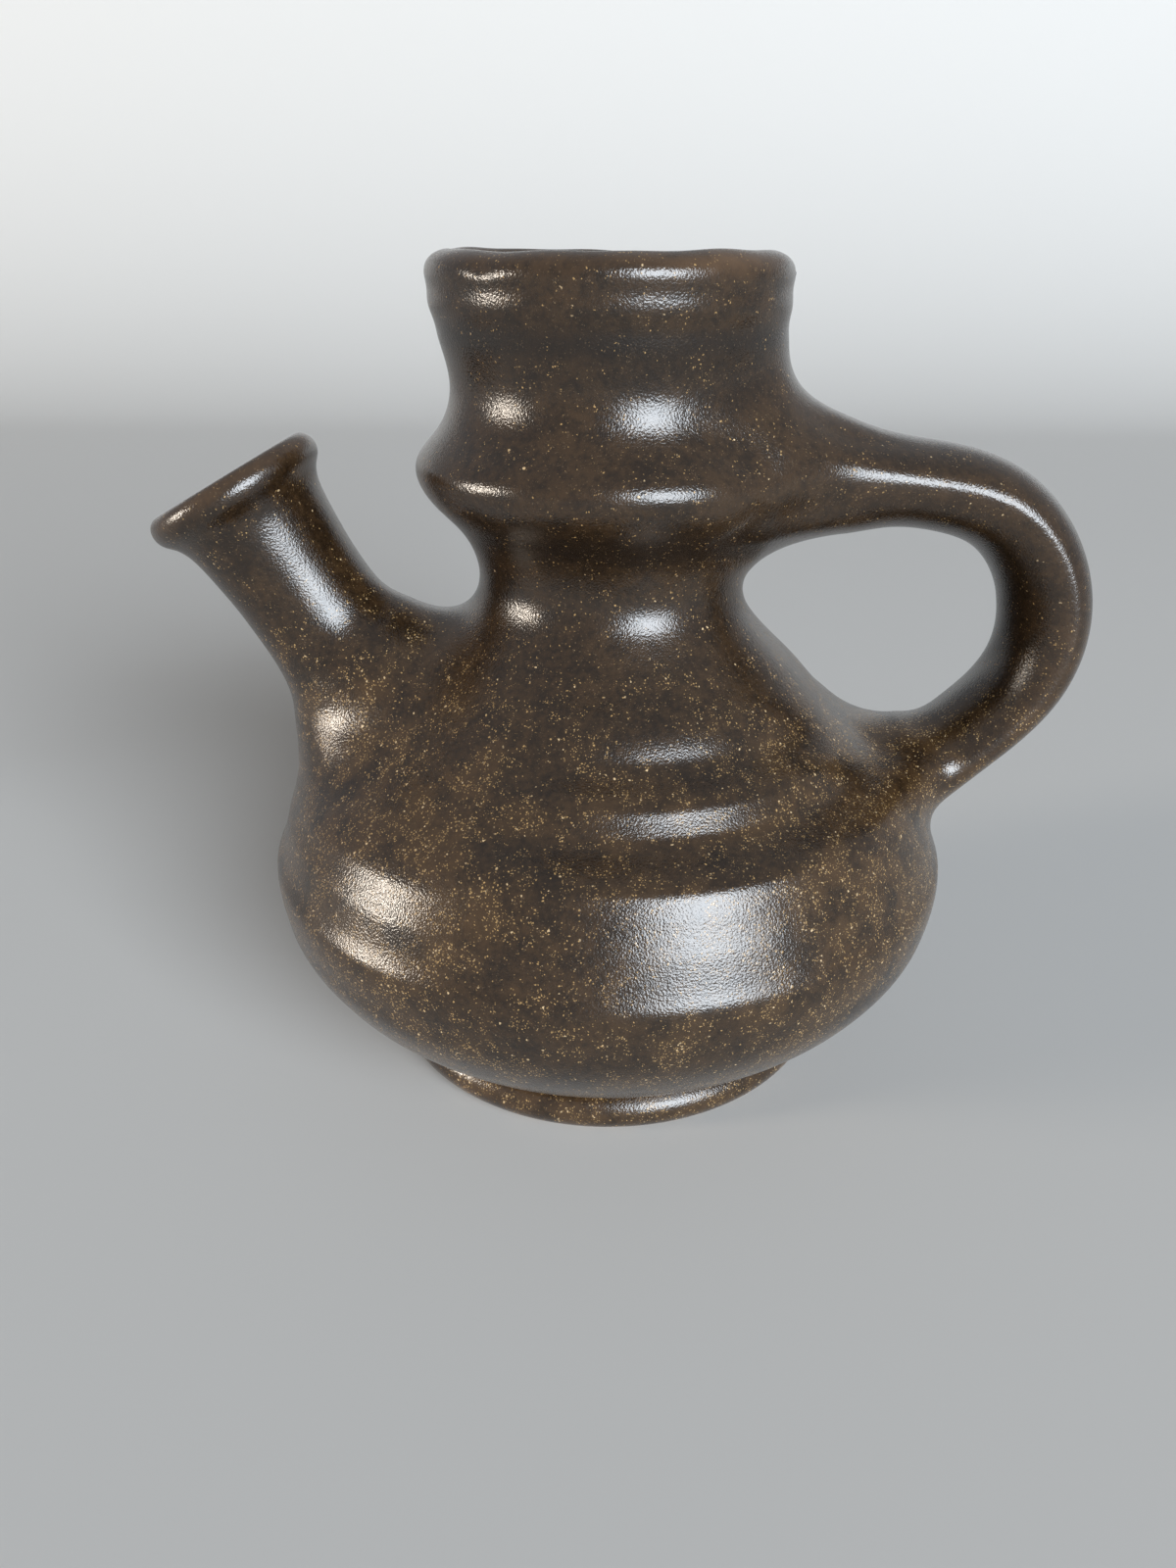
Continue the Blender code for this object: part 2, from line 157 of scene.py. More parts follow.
def speckled_glaze():
    """Brown satin glaze: clouded, darker in the hollows and under the bead, where the glaze pools
    and shade is painted in, rusty where it runs thinner on an edge, full of sandy specks on the
    belly and the foot, and with a skin as fine as orange peel. Where it is wiped off, pale clay
    shows.
    All its patterns are measured in millimetres."""
    material = bpy.data.materials.new("speckled_glaze")
    material.use_nodes = True
    shader = material.node_tree.nodes["Principled BSDF"]
    tree = Shade(material.node_tree)
    metres = tree.node("TexCoord", {}, {}, 3)
    place = tree.node("VectorMath", {"operation": "SCALE"}, {0: metres, "Scale": 1 / MM})
    across, height = place.channel(0), place.channel(2)
    thinness_and_shade = tree.node("Attribute", {"attribute_name": "thinness_and_shade"}, {}, 2)
    bare = tree.node("Attribute", {"attribute_name": "bare"}, {}, 2)

    clouds = place.noise(22.0, detail=3.0)
    patches = place.noise(9.0, detail=3.0, roughness=0.6)
    blotches = place.noise(4.0, detail=3.0, roughness=0.6)
    clusters = place.noise(2.4).ease(0.42, 0.66)
    mottle = place.noise(1.1, roughness=0.6)
    peel = place.noise(0.38, detail=1.0)
    shaken = place.noise(JITTER, detail=1.0, output=1)
    jitter = tree.node("VectorMath", {"operation": "MULTIPLY_ADD"},
                       {0: shaken, 1: (JITTER, JITTER, JITTER), 2: place})

    flank = tree.math("ABSOLUTE", across).ease(*SANDY_FLANKS)
    low = 1 - height.ease(*SANDY_HEIGHTS)
    heel = 1 - height.ease(*HEEL_HEIGHTS)
    gripped = 0.6 * across.ease(*GRIPPED_REACH)
    dusting = ((0.07 + 0.28 * low + 0.48 * low * flank + 0.30 * heel) * (1 - gripped)
               * (0.20 + 1.4 * patches.ease(0.35, 0.69)))
    grouped = dusting * (0.15 + 2.4 * clusters)
    dust, dust_tone = speckles(jitter, 0.30, 0.55, 0.10 + 0.5 * clusters)
    sand, sand_tone = speckles(jitter, 0.40, 0.50, 1.5 * grouped)
    flecks, fleck_tone = speckles(jitter, 0.90, 0.32, 0.65 * grouped)

    uneven = (0.3 * clouds + 0.35 * blotches + 0.35 * mottle).ease(0.38, 0.62)
    brown = tree.blend(uneven, GLAZE_DARK, GLAZE_LIGHT)
    golden = brown.tint(0.45 * dusting.ease(0.10, 0.80), GLAZE_GOLDEN)
    # Painted shade: the hollows and the underside of the bead are darkened, along with where the
    # glaze pools.
    pooled_and_shaded = golden.tint(0.85 * (0 - thinness_and_shade).ease(0.0, 1.0), GLAZE_POOLED_AND_SHADED)
    worn = pooled_and_shaded.tint(thinness_and_shade.ease(0.0, 1.0) * patches.ease(0.25, 0.6), GLAZE_WORN)
    dusted = worn.tint(0.7 * dust * dust_tone, DUST_COLOUR)
    sanded = dusted.tint(sand * (0.30 + 0.6 * sand_tone), SAND_COLOUR)
    flecked = sanded.tint(flecks * (0.45 + 0.5 * fleck_tone), FLECK_COLOUR)
    clay = tree.blend(peel.ease(0.35, 0.7), CLAY_DARK, CLAY_PALE)
    colour = flecked.tint(bare, clay)
    gloss = 0.14 + 0.07 * patches + 0.07 * peel + 0.10 * flecks
    roughness = gloss + bare * (BARE_ROUGHNESS - gloss)
    relief = peel + 0.25 * flecks + 0.12 * sand
    skin = tree.node("Bump", {}, {"Strength": PEEL_STRENGTH, "Distance": PEEL_DEPTH * MM,
                                  "Height": relief})

    shader.inputs["IOR"].default_value = GLAZE_IOR
    for name, value in (("Base Color", colour), ("Roughness", roughness), ("Normal", skin)):
        material.node_tree.links.new(value.socket, shader.inputs[name])
    return material


GLAZE = speckled_glaze()


def add_piece(name, grid, thinness_and_shade=0.0, bare=0.0, poles=()):
    """Closed skin from rows of points that close round. The last row joins the first, or each end
    is closed by a fan to its pole. Rows climb the outside, so that the faces point outwards."""
    rows, columns, _ = grid.shape
    index = np.arange(rows * columns).reshape(rows, columns)
    first, second = (index[:-1], index[1:]) if poles else (index, np.roll(index, -1, axis=0))
    corners = (first, np.roll(first, -1, axis=1), np.roll(second, -1, axis=1), second)
    faces = np.stack(corners, axis=-1).reshape(-1, 4).tolist()
    points = grid.reshape(-1, 3)
    wear_and_shade = [np.broadcast_to(amount, (rows, columns)).ravel() for amount in (thinness_and_shade, bare)]
    if poles:
        points = np.vstack((points, poles))
        tips = np.full((2, columns), rows * columns) + np.array(((0,), (1,)))
        faces += np.stack((np.roll(index[0], -1), index[0], tips[0]), axis=-1).tolist()
        faces += np.stack((index[-1], np.roll(index[-1], -1), tips[1]), axis=-1).tolist()
        wear_and_shade = [np.append(amount, (amount[0], amount[-1])) for amount in wear_and_shade]
    mesh = bpy.data.meshes.new(name)
    mesh.from_pydata(points * MM + AXIS, [], faces)
    # The first attribute holds how much thinner the glaze runs, and below 0 painted shade as well.
    for attribute, amount in zip(("thinness_and_shade", "bare"), wear_and_shade):
        mesh.attributes.new(attribute, "FLOAT", "POINT").data.foreach_set("value", amount)
    mesh.shade_smooth()
    mesh.set_sharp_from_angle(angle=SHARPEST)
    mesh.materials.append(GLAZE)
    piece = bpy.data.objects.new("glazed_" + name, mesh)
    bpy.context.collection.objects.link(piece)
    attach(piece, "root")
    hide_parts(name)
    return piece


def turned(profile):
    """Rows of points from a profile of (radius, height), carried round the axis."""
    radius, height = profile[:, 0, None], profile[:, 1, None]
    rows = np.broadcast_arrays(radius * np.cos(TURNS), radius * np.sin(TURNS), height)
    return np.stack(rows, axis=-1)


def arc(centre, radius, start, end, steps):
    """Points on a round, between two angles in degrees."""
    angles = np.radians(np.linspace(start, end, steps))[:, None]
    return np.array(centre) + radius * np.hstack((np.cos(angles), np.sin(angles)))


nose_middle = np.array((FOOT_RADIUS - FOOT_NOSE, FOOT_HEIGHT / 2))
nose = nose_middle + arc((0.0, 0.0), 1.0, -90, 90, 32) * (FOOT_NOSE, FOOT_HEIGHT / 2)
foot_profile = np.vstack((
    np.linspace((FOOT_INNER_RADIUS + FOOT_BEVEL, 0.0), nose[0] - (FOOT_EDGE_ROW, 0.0), 6),
    nose,
    np.linspace(nose[-1] - (FOOT_EDGE_ROW, 0.0), (FOOT_INNER_RADIUS, FOOT_HEIGHT), 4),
    np.linspace((FOOT_INNER_RADIUS, FOOT_HEIGHT - FOOT_EDGE_ROW),
                (FOOT_INNER_RADIUS, FOOT_BEVEL), 6)))
foot_bare = np.clip((BARE_HEIGHT - foot_profile[:, 1, None]) / BARE_FADE, 0.0, 1.0)
foot_thin = 0.15 + 0.15 * np.cos(3 * TURNS)
add_piece("foot_ring", turned(foot_profile), foot_thin, foot_bare)


# Lower bowl
# The lower half of the belly, thrown in one with its floor, which is dished underneath inside
# the foot ring. Its upper edge is scored and luted to the shoulder, and glaze covers the seam.

OUTLINE = np.array((
    (9.0, 45.5), (12.0, 49.8), (16.0, 55.5), (22.0, 61.8), (30.0, 67.5), (36.0, 69.6),
    (41.0, 70.35), (44.0, 70.35), (45.4, 70.2), (46.2, 70.0), (47.0, 69.7), (49.0, 68.9),
    (56.0, 66.2), (61.5, 63.8), (64.5, 61.1), (68.0, 56.2), (72.0, 50.6), (78.0, 44.0),
    (84.0, 38.4), (92.0, 30.4), (97.0, 26.9), (102.0, 25.6), (107.0, 26.6), (112.0, 29.6),
    (117.0, 34.3), (120.0, 36.2), (122.4, 36.8), (125.0, 36.1), (129.0, 32.7), (133.5, 30.0),
    (138.0, 29.3), (144.0, 30.5), (149.0, 31.8), (155.0, 32.8)))
WALL = 5.0
LUTE = 0.2
BELLY_SEAM = 41.15
SEAM_ROW = 0.12
BOSS_RADIUS = 35.7
BOSS_ROUND = 1.2
POLE_ROW = 0.8
UNDERSIDE = 3.5
FLOOR = 9.5
FLOOR_ROUND = 3.0
FLOOR_CORNER_SHARE = 0.4
OVAL = (0.22, 0.12)
COLLAR_LEAN = 0.5
COLLAR_LEAN_HEIGHT = 130.0
COLLAR_LEAN_FADE = 2.5
RING_PITCH = 10.2
RING_CREST = 71.5
RING_SIZES = np.array((
    (9.0, 0.04), (44.0, 0.04), (50.0, 0.09), (57.0, 0.09), (61.0, 0.25), (65.0, 1.00),
    (69.0, 1.70), (73.0, 1.55), (78.0, 0.75), (84.0, 0.26), (90.0, 0.12), (98.0, 0.05),
    (160.0, 0.05)))
RIM_RING_PITCH = 7.6
SHOULDER_HEIGHTS = (55.0, 62.0)
# Swells, each by its middle height, its width and its amount.
WORN_EDGE = (63.0, 4.0, 0.7)
RIM_RING = (151.2, 4.5, 0.22)
# Below 0 the glaze is darker where it pools, and this also paints shade into the hollows and under
# the bead; above 0 it runs thinner on edges.
GLAZE_BREAKS_AND_SHADE = (
    (47.0, 3.0, 0.12), (63.0, 2.5, 0.12), (159.5, 2.0, 0.35), (13.0, 4.0, -0.5),
    (33.0, 9.0, -0.35), (101.0, 5.0, -0.30), (113.0, 4.0, -0.75), (146.5, 2.6, -0.75),
    (141.0, 4.0, -0.35))


def spline(knots, values, at):
    """Natural cubic spline: cubics from knot to knot, whose slope and bend run on across each."""
    gaps, rises = np.diff(knots), np.diff(values)
    inner = np.arange(1, len(knots) - 1)
    system, load = np.eye(len(knots)), np.zeros(len(knots))
    system[inner, inner - 1], system[inner, inner + 1] = gaps[:-1], gaps[1:]
    system[inner, inner] = 2 * (gaps[:-1] + gaps[1:])
    load[inner] = 6 * (rises[1:] / gaps[1:] - rises[:-1] / gaps[:-1])
    bend = np.linalg.solve(system, load)
    k = np.clip(np.searchsorted(knots, at) - 1, 0, len(knots) - 2)
    gap, past, left = gaps[k], at - knots[k], knots[k + 1] - at
    return ((bend[k] * left ** 3 + bend[k + 1] * past ** 3) / (6 * gap)
            + (values[k] / gap - bend[k] * gap / 6) * left
            + (values[k + 1] / gap - bend[k + 1] * gap / 6) * past)


def ease(value, low, high):
    """Smooth step from 0 at low to 1 at high."""
    share = np.clip((value - low) / (high - low), 0.0, 1.0)
    return share ** 2 * (3 - 2 * share)


def swell(value, middle, width, amount):
    """Bell curve of this amount about a middle, fallen to about a third of it at the width."""
    return amount * np.exp(-((value - middle) / width) ** 2)


def plain_radius(turn, height):
    """Outer radius without finger rings: the outline's spline, a slight oval, and the collar's lean
    towards the spout."""
    oval = OVAL[0] * np.cos(2 * turn + 0.8) + OVAL[1] * np.cos(3 * turn + height / 28.0)
    leant = 1 / (1 + np.exp((COLLAR_LEAN_HEIGHT - height) / COLLAR_LEAN_FADE))
    lean = -COLLAR_LEAN * np.cos(turn) * leant
    return spline(OUTLINE[:, 0], OUTLINE[:, 1], height) + oval + lean


def finger_rings(turn, height):
    """Soft ridges left by the thrower's fingers: a wave up the wall with broad crests and narrow
    hollows, strongest on the shoulder. There it is smoothed away towards the spout and the handle,
    and below the spout it is deeper and the edge of the belly's band is worn. One more ring swells
    under the rim."""
    phase = 2 * np.pi * (height - RING_CREST) / RING_PITCH + 0.35 * np.sin(turn + 2.0)
    wave = np.sin(phase) - 0.15 * np.sin(2 * phase)
    shoulder = ease(height, *SHOULDER_HEIGHTS)
    to_spout = ease(-np.cos(turn), 0.05, 0.65)
    to_handle = 0.85 * ease(np.cos(turn), 0.72, 0.95)
    left = 1 + 1.2 * to_spout * (1 - shoulder) - (to_spout + to_handle) * shoulder
    worn_edge = to_spout * swell(height, *WORN_EDGE)
    rim_wave = np.cos(2 * np.pi * (height - RIM_RING[0]) / RIM_RING_PITCH)
    under_rim = rim_wave * swell(height, *RIM_RING)
    return np.interp(height, *RING_SIZES.T) * wave * left - worn_edge + under_rim


def body_radius(turn, height):
    return plain_radius(turn, height) + finger_rings(turn, height)


def body_skin(turn, height, sunk=0.0):
    """Points of the pot's outside, or sunk below it along its normal, and the normals there. The
    slopes up and around the wall are taken over a small step."""
    step = 0.05
    turn, height = np.broadcast_arrays(turn, height)
    radius = body_radius(turn, height)
    slope = (body_radius(turn, height + step) - body_radius(turn, height - step)) / (2 * step)
    around = (body_radius(turn + step / radius, height)
              - body_radius(turn - step / radius, height)) / (2 * step)
    out = np.stack((np.cos(turn), np.sin(turn), -slope), axis=-1)
    side = np.stack((-np.sin(turn), np.cos(turn), np.zeros_like(turn)), axis=-1)
    normal = out - around[..., None] * side
    normal /= np.linalg.norm(normal, axis=-1, keepdims=True)
    surface = np.stack((radius * np.cos(turn), radius * np.sin(turn), height), axis=-1)
    return surface - np.asarray(sunk)[..., None] * normal, normal


def glaze_breaks_and_shade(height):
    """How the glaze changes with height: it draws back from the edges of the belly's band and the
    rim (above 0), and is darker in the hollows of the collar, the throat and the heel (below 0),
    where it pools and where shade is painted in as well."""
    return sum(swell(height, *line) for line in GLAZE_BREAKS_AND_SHADE)


def wall_heights(low, high, step):
    """Heights up a wall, with a fine row at each end so that the shading runs on over the seam."""
    inside = np.linspace(low, high, max(3, round((high - low) / step)))[1:-1]
    return np.concatenate(((low, low + SEAM_ROW), inside, (high - SEAM_ROW, high)))[:, None]


bowl_rise = wall_heights(FOOT_HEIGHT + LUTE, BELLY_SEAM, 0.6)
bowl_fall = np.linspace(BELLY_SEAM, FLOOR + FLOOR_ROUND, 44)[:, None]
bowl_outside, _ = body_skin(TURNS, bowl_rise)
bowl_inside, _ = body_skin(TURNS, bowl_fall, WALL)
corner = bowl_inside[-1]
floor_share = np.linspace(0.0, 1.0, 22)[:, None]
floor_reach = np.cos(floor_share * np.pi / 2)
corner_share = np.minimum(floor_share / FLOOR_CORNER_SHARE, 1.0)
floor_fall = FLOOR + (corner[:, 2] - FLOOR) * (1 - np.sin(corner_share * np.pi / 2))
bowl_floor = np.stack((corner[:, 0] * floor_reach, corner[:, 1] * floor_reach, floor_fall), axis=-1)
bowl_under = turned(np.vstack((
    np.linspace((POLE_ROW, UNDERSIDE), (BOSS_RADIUS - 2.0, UNDERSIDE), 20),
    arc((BOSS_RADIUS - BOSS_ROUND, UNDERSIDE + BOSS_ROUND), BOSS_ROUND, -90, 0, 6),
    [(BOSS_RADIUS, FOOT_HEIGHT + LUTE), (FOOT_RADIUS - 8.0, FOOT_HEIGHT + LUTE)])))
bowl_grid = np.concatenate((bowl_under, bowl_outside, bowl_inside, bowl_floor[1:-1]))
add_piece("lower_bowl", bowl_grid, glaze_breaks_and_shade(bowl_grid[..., 2]),
          poles=((0.0, 0.0, UNDERSIDE), (0.0, 0.0, FLOOR)))


# Shoulder dome
# The upper half of the belly, thrown as a second bowl, turned over and luted on at the belly.
# Its finger rings show through the glaze, and a hole is cut in it where the spout goes on.

COLLAR_SEAM = 97.15
SPOUT_ROOT = np.array((-47.8, 0.0, 74.8))
SPOUT_LEAN = math.radians(30.2)
SPOUT_AXIS = np.array((-math.sin(SPOUT_LEAN), 0.0, math.cos(SPOUT_LEAN)))
SPOUT_TO_NECK = np.array((math.cos(SPOUT_LEAN), 0.0, math.sin(SPOUT_LEAN)))
SIDE = np.array((0.0, 1.0, 0.0))
BORE_RADIUS = 8.5
BORE_REACH = 22.0
HOLE_SLACK = 0.05
HOLE_SIDES = 64

dome_rise = wall_heights(BELLY_SEAM, COLLAR_SEAM, 0.5)
dome_fall = np.linspace(COLLAR_SEAM, BELLY_SEAM, 70)[:, None]
dome_grid = np.concatenate((body_skin(TURNS, dome_rise)[0], body_skin(TURNS, dome_fall, WALL)[0]))
dome = add_piece("shoulder_dome", dome_grid, glaze_breaks_and_shade(dome_grid[..., 2]))


def spout_ring(angles, along, radius):
    """Points about the spout's axis, at distances along it from the shoulder."""
    along, radius = np.broadcast_arrays(along, radius)
    across = np.cos(angles)[..., None] * SPOUT_TO_NECK + np.sin(angles)[..., None] * SIDE
    return SPOUT_ROOT + along[..., None] * SPOUT_AXIS + radius[..., None] * across


hole_angles = np.linspace(0.0, 2 * np.pi, HOLE_SIDES, endpoint=False)
hole_ends = np.array(((-BORE_REACH,), (BORE_REACH,))) + 0 * hole_angles
hole_grid = spout_ring(hole_angles, hole_ends, BORE_RADIUS + HOLE_SLACK)
inner_end, outer_end = np.arange(2 * HOLE_SIDES).reshape(2, HOLE_SIDES)
hole_sides = np.stack((inner_end, np.roll(inner_end, -1), np.roll(outer_end, -1), outer_end),
                      axis=-1)
hole_faces = hole_sides.tolist() + [inner_end[::-1].tolist(), outer_end.tolist()]
hole_mesh = bpy.data.meshes.new("spout_hole")
hole_mesh.from_pydata(hole_grid.reshape(-1, 3) * MM + AXIS, [], hole_faces)
hole = bpy.data.objects.new("spout_hole", hole_mesh)
bpy.context.collection.objects.link(hole)
drill = dome.modifiers.new("spout_hole", "BOOLEAN")
drill.object, drill.solver = hole, "EXACT"
bpy.context.view_layer.update()
drilled = dome.evaluated_get(bpy.context.evaluated_depsgraph_get())
drilled_mesh = bpy.data.meshes.new_from_object(drilled)
dome.modifiers.clear()
dome.data = drilled_mesh
bpy.data.objects.remove(hole)


# Collar
# The neck, thrown as a third piece and luted on at the throat. A bead swells round its middle,
# and the rim is rolled over to a thick edge that has worn rusty where it is gripped to pour.

RIM = 155.0
RIM_ROLL = np.array((
    (32.8, 155.0), (32.95, 156.3), (32.7, 157.6), (31.7, 158.9), (30.2, 159.7), (28.8, 160.0),
    (27.5, 159.8), (26.4, 158.9), (25.9, 157.2), (26.4, 154.0), (27.2, 150.5)))
RIM_HEIGHT = 5.0
RIM_DEPTH = 6.0
# Swells round the rim and up it, for a nick in its edge and for the worn place.
NICK_TURN = (math.radians(230), 0.09, 0.35)
NICK_HEIGHT = (157.5, 1.3, 1.0)
GRIP_TURN = (math.radians(305), 0.45, 0.4)
GRIP_HEIGHT = (158.0, 3.0, 1.0)


def smooth_line(points, steps):
    """Points along a spline that runs through a few given ones, by the length of its chords."""
    run = np.concatenate(((0.0,), np.cumsum(np.linalg.norm(np.diff(points, axis=0), axis=1))))
    at = np.linspace(0.0, run[-1], steps)
    return np.stack([spline(run, points[:, axis], at) for axis in range(points.shape[1])], axis=-1)


collar_rise = wall_heights(COLLAR_SEAM, RIM, 0.45)
collar_fall = np.linspace(RIM - RIM_DEPTH, COLLAR_SEAM, 80)[:, None]
rim_shift = body_skin(TURNS, RIM)[0] - turned(RIM_ROLL[:1])
rim_grid = turned(smooth_line(RIM_ROLL, 64)[1:]) + rim_shift * np.array((1, 1, 0))
rim_share = np.clip((rim_grid[..., 2] - RIM) / RIM_HEIGHT, 0.0, 1.0)
nick = swell(TURNS, *NICK_TURN) * swell(rim_grid[..., 2], *NICK_HEIGHT)
rim_wave = 0.22 * np.cos(2 * TURNS + 1.1) + 0.10 * np.cos(7 * TURNS) + 0.07 * np.sin(12 * TURNS)
rim_grid[..., :2] *= 1 - (nick / RIM_ROLL[0, 0])[..., None]
rim_grid[..., 2] += rim_share * rim_wave
collar_grid = np.concatenate((body_skin(TURNS, collar_rise)[0], rim_grid,
                              body_skin(TURNS, collar_fall, WALL)[0]))
rim_grip = swell(TURNS, *GRIP_TURN) * swell(collar_grid[..., 2], *GRIP_HEIGHT)
add_piece("collar", collar_grid, glaze_breaks_and_shade(collar_grid[..., 2]) + rim_grip)


# Spout
# A small thrown tube with a rolled lip, leaned out over its hole in the shoulder. Its root is
# pulled out and smoothed down with wet fingers, so that it flows into the shoulder and the neck.

SPOUT_COLUMNS = 160
SPOUT_ANGLES = np.linspace(0.0, 2 * np.pi, SPOUT_COLUMNS, endpoint=False)
SPOUT_RADIUS = 13.1
SPOUT_PROFILE = np.array((
    (13.1, 27.0), (13.2, 31.0), (13.6, 36.0), (14.1, 40.5), (14.8, 43.6), (16.0, 45.8),
    (17.4, 47.4), (18.0, 49.2), (17.5, 51.2), (15.9, 52.4), (14.2, 52.2), (12.8, 51.0),
    (11.8, 49.0), (10.6, 45.0), (9.4, 38.0), (8.6, 30.0), (8.5, 20.0), (8.5, 6.0)))
SPOUT_LIP_TILT = math.radians(0.8)
SPOUT_TILT_RUN = (28.0, 50.0)
SPOUT_LIP_WEAR = (51.4, 2.5, 0.4)
# The patch that a root covers: its middle's turn and height, then its half width and half height.
SPOUT_ROOT_OVAL = (np.pi, 74.0, -0.75, 30.0)
SPOUT_BORE_SUNK = 3.0
ROOT_ROWS = 72
ROOT_SUNK = 0.08
ROOT_HIDDEN = 1.8
GLAZE_RUN = (0.5, 12.0)


def pot_depth(points):
    """Distance from the pot's outside, by its radius and the wall's slope there. The finger rings
    are smoothed away with the distance."""
    step, rings_fade = 6.0, 3.0
    turn, height = np.arctan2(points[..., 1], points[..., 0]), points[..., 2]
    slope = (plain_radius(turn, height + step) - plain_radius(turn, height - step)) / (2 * step)
    steepness = np.hypot(1.0, slope)
    plain = (np.hypot(points[..., 0], points[..., 1]) - plain_radius(turn, height)) / steepness
    return plain - finger_rings(turn, height) / steepness * swell(plain, 0.0, rings_fade, 1.0)


def spout_depth(points):
    """Distance from the outside of the spout's plain tube."""
    offset = points - SPOUT_ROOT
    return np.hypot(offset @ SPOUT_TO_NECK, offset @ SIDE) - SPOUT_RADIUS


def spout_spread(points):
    """How far the spout's root is smoothed out: least where it drops to the belly, more over the
    shoulder, most up the tube and in the valley, and less again against the neck."""
    across, height = points[..., 0], points[..., 2]
    shoulder = 7.0 * ease(height, 60.0, 74.0)
    upper = (4.0 - 10.0 * ease(across, -58.0, -26.0)) * ease(height, 74.0, 98.0)
    valley = swell(across, -42.0, 11.0, 4.5) * ease(height, 74.0, 92.0)
    return 17.5 + shoulder + upper + valley


def run_together(points, limb_depth, spread, round_share):
    """Distance from the pot and a limb that run together: the lesser of the two distances, less a
    round that is deepest where both are equal and ends where they differ by the spread."""
    pot, limb, width = pot_depth(points), limb_depth(points), spread(points)
    near = np.maximum(width - np.abs(pot - limb), 0.0) / width
    return np.minimum(pot, limb) - round_share * near ** 2 * width / 4


def root_edge(angles, oval, limb_depth, spread):
    """Turn and height where a root runs out: along each ray from the middle of an oval, the place
    where the limb is just too far off to round the pot's skin, found by halving."""
    turn, height, wide, tall = oval
    slack = 0.3
    least, most = np.full(angles.shape, 0.2), np.full(angles.shape, 1.7)
    for halving in range(40):
        share = (least + most) / 2
        at_turn = turn + share * wide * np.sin(angles)
        at_height = height + share * tall * np.cos(angles)
        skin = body_skin(at_turn, at_height)[0]
        covered = limb_depth(skin) < spread(skin) + slack
        least, most = np.where(covered, share, least), np.where(covered, most, share)
    return at_turn, at_height


def root_rows(turn, height, ring, along, limb_depth, spread, rows):
    """Rows from the pot's skin up to a ring of the limb. Each column sets out as a Bezier curve,
    then its points slide along the slope of the distance until they lie on the smoothed skin."""
    foot, normal = body_skin(turn, height)
    away = foot - foot.mean(axis=0)
    away -= np.sum(away * normal, axis=-1, keepdims=True) * normal
    away /= np.linalg.norm(away, axis=-1, keepdims=True)
    reach = np.linalg.norm(ring - foot, axis=-1, keepdims=True)
    first, second = foot - 0.4 * reach * away, ring - 0.3 * reach * along
    t = np.linspace(0.0, 1.0, rows)[:, None, None]
    points = ((1 - t) ** 3 * foot + 3 * t * (1 - t) ** 2 * first
              + 3 * t ** 2 * (1 - t) * second + t ** 3 * ring)
    blend = (limb_depth, spread, 1 - ease(t[..., 0], 0.55, 1.0))
    step = 0.05
    for slide in range(14):
        depth = run_together(points, *blend)
        slope = np.stack([(run_together(points + step * axis, *blend)
                           - run_together(points - step * axis, *blend)) / (2 * step)
                          for axis in np.eye(3)], axis=-1)
        points = points - (depth / np.sum(slope ** 2, axis=-1))[..., None] * slope
    points[0] = body_skin(turn, height, ROOT_SUNK)[0]
    points[-1] = ring
    return points


def hidden_rows(turn, height, to_turn, to_height, rows):
    """Rows that close a root inside the wall, just under the pot's skin."""
    share = np.linspace(0.0, 1.0, rows)[1:, None]
    at_turn, at_height = turn + share * (to_turn - turn), height + share * (to_height - height)
    return body_skin(at_turn, at_height, ROOT_HIDDEN)[0]


def run_on(points):
    """How the glaze changes on a limb, painted shade in its hollows included: as on the pot at that
    height, fading with the distance.
    """
    return glaze_breaks_and_shade(points[..., 2]) * (1 - ease(pot_depth(points), *GLAZE_RUN))


spout_turn, spout_height = root_edge(SPOUT_ANGLES, SPOUT_ROOT_OVAL, spout_depth, spout_spread)
tube_foot = spout_ring(SPOUT_ANGLES, SPOUT_PROFILE[0, 1], SPOUT_RADIUS)
spout_root = root_rows(spout_turn, spout_height, tube_foot, SPOUT_AXIS, spout_depth, spout_spread,
                       ROOT_ROWS)
tube_radius, tube_along = smooth_line(SPOUT_PROFILE, 150)[1:].T
lip_share = np.clip((tube_along - SPOUT_TILT_RUN[0]) / np.ptp(SPOUT_TILT_RUN), 0.0, 1.0)
lip_reach = (tube_radius * lip_share ** 2)[:, None] * np.cos(SPOUT_ANGLES)
tube_places = tube_along[:, None] - math.tan(SPOUT_LIP_TILT) * lip_reach
spout_tube = spout_ring(SPOUT_ANGLES, tube_places, tube_radius[:, None])

# The bore ends inside the shoulder's wall, at a depth found by halving along each of its lines.
above, below = np.full(SPOUT_COLUMNS, BORE_REACH), np.full(SPOUT_COLUMNS, -BORE_REACH)
for halving in range(40):
    middle = (above + below) / 2
    bore_end = spout_ring(SPOUT_ANGLES, middle, BORE_RADIUS)
    bore_turn, bore_height = np.arctan2(bore_end[:, 1], bore_end[:, 0]), bore_end[:, 2]
    bore_wall = body_radius(bore_turn, bore_height) - SPOUT_BORE_SUNK
    inside = np.hypot(bore_end[:, 0], bore_end[:, 1]) < bore_wall
    above, below = np.where(inside, above, middle), np.where(inside, middle, below)
spout_hidden = hidden_rows(bore_turn % (2 * np.pi), bore_height, spout_turn, spout_height, 14)
spout_grid = np.concatenate((spout_root, spout_tube, spout_hidden))
lip_wear = np.zeros(len(spout_grid))
lip_wear[len(spout_root):-len(spout_hidden)] = swell(tube_along, *SPOUT_LIP_WEAR)
add_piece("spout", spout_grid, run_on(spout_grid) + lip_wear[:, None])


# Handle
# An ear handle pulled by hand from a lump of clay, oval in section. Both ends are pressed on and
# smoothed: the upper one into the collar's bead, the lower one into the side of the shoulder.

